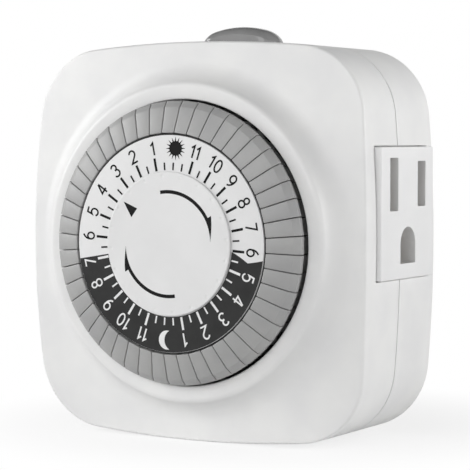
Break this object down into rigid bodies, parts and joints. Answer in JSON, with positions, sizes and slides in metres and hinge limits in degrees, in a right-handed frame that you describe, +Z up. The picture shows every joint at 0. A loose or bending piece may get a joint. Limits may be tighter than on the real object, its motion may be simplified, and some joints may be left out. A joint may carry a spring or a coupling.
{
  "type": "plug in timer switch",
  "caption": "Plug-in 24-hour mechanical timer with a turning dial of push-down trip tabs, an override button on top, a grounded outlet on one side and a plug on the back.",
  "frame": {"origin": "middle of the ground pin where it leaves the back face, on the dial's axis", "axes": "+X towards the side with the outlet, +Y out of the back along the plug's blades, +Z up towards the override button"},
  "size_m": [0.0796, 0.0631, 0.0849],
  "materials": {
    "housing_plastic": "satin moulded polycarbonate blend",
    "outlet_plastic": "satin",
    "inner_plastic": "matt",
    "tab_plastic": "satin",
    "dial_plastic": "matt",
    "label_film": "printed satin film",
    "disc_plastic": "satin",
    "button_plastic": "polished",
    "gear_plastic": "natural acetal",
    "plate_steel": "zinc plated",
    "screw_steel": "zinc plated",
    "arbor_steel": "turned",
    "spring_steel": "drawn",
    "blade_brass": "burnished",
    "bus_brass": "stamped",
    "leaf_bronze": "rolled",
    "contact_silver": "satin",
    "motor_steel": "drawn",
    "coil_copper": "enamelled wire",
    "rotor_ferrite": "ground",
    "lead_insulation": "satin"
  },
  "bodies": {
    "housing": {"front_shell": "housing_plastic", "rear_shell": "housing_plastic", "housing_screws": "screw_steel", "movement_plate": "plate_steel", "movement_screws": "screw_steel", "dial_arbor": "arbor_steel", "dial_screw": "screw_steel", "idler_arbor": "arbor_steel", "motor_can": "motor_steel", "motor_cover": "motor_steel", "motor_coil": "coil_copper", "motor_leads": "lead_insulation", "outlet_face": "outlet_plastic", "outlet_carrier": "inner_plastic", "neutral_blade": "blade_brass", "line_blade": "blade_brass", "ground_pin": "blade_brass", "neutral_bus": "bus_brass", "line_bus": "bus_brass", "fixed_contact": "contact_silver", "line_contact": "bus_brass", "ground_bus": "bus_brass", "override_spring": "spring_steel", "latch_wire": "spring_steel", "pointer_disc": "disc_plastic"},
    "dial": {"dial_carrier": "dial_plastic", "dial_gear": "gear_plastic", "dial_label": "label_film"},
    "tabs_00": {"tab_pair_00": "tab_plastic"},
    "tabs_01": {"tab_pair_01": "tab_plastic"},
    "tabs_02": {"tab_pair_02": "tab_plastic"},
    "tabs_03": {"tab_pair_03": "tab_plastic"},
    "tabs_04": {"tab_pair_04": "tab_plastic"},
    "tabs_05": {"tab_pair_05": "tab_plastic"},
    "tabs_06": {"tab_pair_06": "tab_plastic"},
    "tabs_07": {"tab_pair_07": "tab_plastic"},
    "tabs_08": {"tab_pair_08": "tab_plastic"},
    "tabs_09": {"tab_pair_09": "tab_plastic"},
    "tabs_10": {"tab_pair_10": "tab_plastic"},
    "tabs_11": {"tab_pair_11": "tab_plastic"},
    "tabs_12": {"tab_pair_12": "tab_plastic"},
    "tabs_13": {"tab_pair_13": "tab_plastic"},
    "tabs_14": {"tab_pair_14": "tab_plastic"},
    "tabs_15": {"tab_pair_15": "tab_plastic"},
    "tabs_16": {"tab_pair_16": "tab_plastic"},
    "tabs_17": {"tab_pair_17": "tab_plastic"},
    "tabs_18": {"tab_pair_18": "tab_plastic"},
    "tabs_19": {"tab_pair_19": "tab_plastic"},
    "tabs_20": {"tab_pair_20": "tab_plastic"},
    "tabs_21": {"tab_pair_21": "tab_plastic"},
    "tabs_22": {"tab_pair_22": "tab_plastic"},
    "tabs_23": {"tab_pair_23": "tab_plastic"},
    "idler": {"idler_gear": "gear_plastic"},
    "motor_output": {"motor_pinion": "gear_plastic"},
    "rotor": {"motor_rotor": "rotor_ferrite"},
    "override": {"override_button": "button_plastic"},
    "follower": {"follower_plunger": "gear_plastic"},
    "leaf": {"contact_leaf": "leaf_bronze", "moving_contact": "contact_silver"}
  },
  "joints": [
    {"name": "dial_turn", "type": "hinge", "parent": "housing", "child": "dial", "pos_m": [0, 0, 0], "axis": [0, 1, 0], "continuous": true},
    {"name": "tabs_00_push", "type": "slide", "parent": "dial", "child": "tabs_00", "axis": [0, 1, 0], "range_m": [0, 0.0025]},
    {"name": "tabs_01_push", "type": "slide", "parent": "dial", "child": "tabs_01", "axis": [0, 1, 0], "range_m": [0, 0.0025]},
    {"name": "tabs_02_push", "type": "slide", "parent": "dial", "child": "tabs_02", "axis": [0, 1, 0], "range_m": [0, 0.0025]},
    {"name": "tabs_03_push", "type": "slide", "parent": "dial", "child": "tabs_03", "axis": [0, 1, 0], "range_m": [0, 0.0025]},
    {"name": "tabs_04_push", "type": "slide", "parent": "dial", "child": "tabs_04", "axis": [0, 1, 0], "range_m": [0, 0.0025]},
    {"name": "tabs_05_push", "type": "slide", "parent": "dial", "child": "tabs_05", "axis": [0, 1, 0], "range_m": [0, 0.0025]},
    {"name": "tabs_06_push", "type": "slide", "parent": "dial", "child": "tabs_06", "axis": [0, 1, 0], "range_m": [0, 0.0025]},
    {"name": "tabs_07_push", "type": "slide", "parent": "dial", "child": "tabs_07", "axis": [0, 1, 0], "range_m": [0, 0.0025]},
    {"name": "tabs_08_push", "type": "slide", "parent": "dial", "child": "tabs_08", "axis": [0, 1, 0], "range_m": [0, 0.0025]},
    {"name": "tabs_09_push", "type": "slide", "parent": "dial", "child": "tabs_09", "axis": [0, 1, 0], "range_m": [0, 0.0025]},
    {"name": "tabs_10_push", "type": "slide", "parent": "dial", "child": "tabs_10", "axis": [0, 1, 0], "range_m": [0, 0.0025]},
    {"name": "tabs_11_push", "type": "slide", "parent": "dial", "child": "tabs_11", "axis": [0, 1, 0], "range_m": [0, 0.0025]},
    {"name": "tabs_12_push", "type": "slide", "parent": "dial", "child": "tabs_12", "axis": [0, 1, 0], "range_m": [0, 0.0025]},
    {"name": "tabs_13_push", "type": "slide", "parent": "dial", "child": "tabs_13", "axis": [0, 1, 0], "range_m": [0, 0.0025]},
    {"name": "tabs_14_push", "type": "slide", "parent": "dial", "child": "tabs_14", "axis": [0, 1, 0], "range_m": [0, 0.0025]},
    {"name": "tabs_15_push", "type": "slide", "parent": "dial", "child": "tabs_15", "axis": [0, 1, 0], "range_m": [0, 0.0025]},
    {"name": "tabs_16_push", "type": "slide", "parent": "dial", "child": "tabs_16", "axis": [0, 1, 0], "range_m": [0, 0.0025]},
    {"name": "tabs_17_push", "type": "slide", "parent": "dial", "child": "tabs_17", "axis": [0, 1, 0], "range_m": [0, 0.0025]},
    {"name": "tabs_18_push", "type": "slide", "parent": "dial", "child": "tabs_18", "axis": [0, 1, 0], "range_m": [0, 0.0025]},
    {"name": "tabs_19_push", "type": "slide", "parent": "dial", "child": "tabs_19", "axis": [0, 1, 0], "range_m": [0, 0.0025]},
    {"name": "tabs_20_push", "type": "slide", "parent": "dial", "child": "tabs_20", "axis": [0, 1, 0], "range_m": [0, 0.0025]},
    {"name": "tabs_21_push", "type": "slide", "parent": "dial", "child": "tabs_21", "axis": [0, 1, 0], "range_m": [0, 0.0025]},
    {"name": "tabs_22_push", "type": "slide", "parent": "dial", "child": "tabs_22", "axis": [0, 1, 0], "range_m": [0, 0.0025]},
    {"name": "tabs_23_push", "type": "slide", "parent": "dial", "child": "tabs_23", "axis": [0, 1, 0], "range_m": [0, 0.0025]},
    {"name": "idler_turn", "type": "hinge", "parent": "housing", "child": "idler", "pos_m": [-0.0025, 0, -0.02085], "axis": [0, 1, 0], "continuous": true},
    {"name": "motor_output_turn", "type": "hinge", "parent": "housing", "child": "motor_output", "pos_m": [-0.017, 0, -0.017], "axis": [0, 1, 0], "continuous": true},
    {"name": "rotor_spin", "type": "hinge", "parent": "housing", "child": "rotor", "pos_m": [-0.017, 0, -0.017], "axis": [0, 1, 0], "continuous": true},
    {"name": "override_press", "type": "slide", "parent": "housing", "child": "override", "axis": [0, 0, -1], "range_m": [0, 0.0022], "stiffness_N_per_m": 400, "deforming": ["override_spring"]},
    {"name": "follower_slide", "type": "slide", "parent": "housing", "child": "follower", "axis": [0, 1, 0], "range_m": [0, 0.0022]},
    {"name": "leaf_flex", "type": "hinge", "parent": "housing", "child": "leaf", "pos_m": [0.021, -0.0092, 0.0265], "axis": [0, 0, -1], "range_deg": [0, 6.01]}
  ],
  "couplings": [
    {"joint": "idler_turn", "follows": "dial_turn", "ratio": -6},
    {"joint": "motor_output_turn", "follows": "dial_turn", "ratio": 24},
    {"joint": "follower_slide", "follows": "override_press", "ratio": 1},
    {"joint": "leaf_flex", "follows": "override_press", "rad_per_m": 47.619}
  ]
}
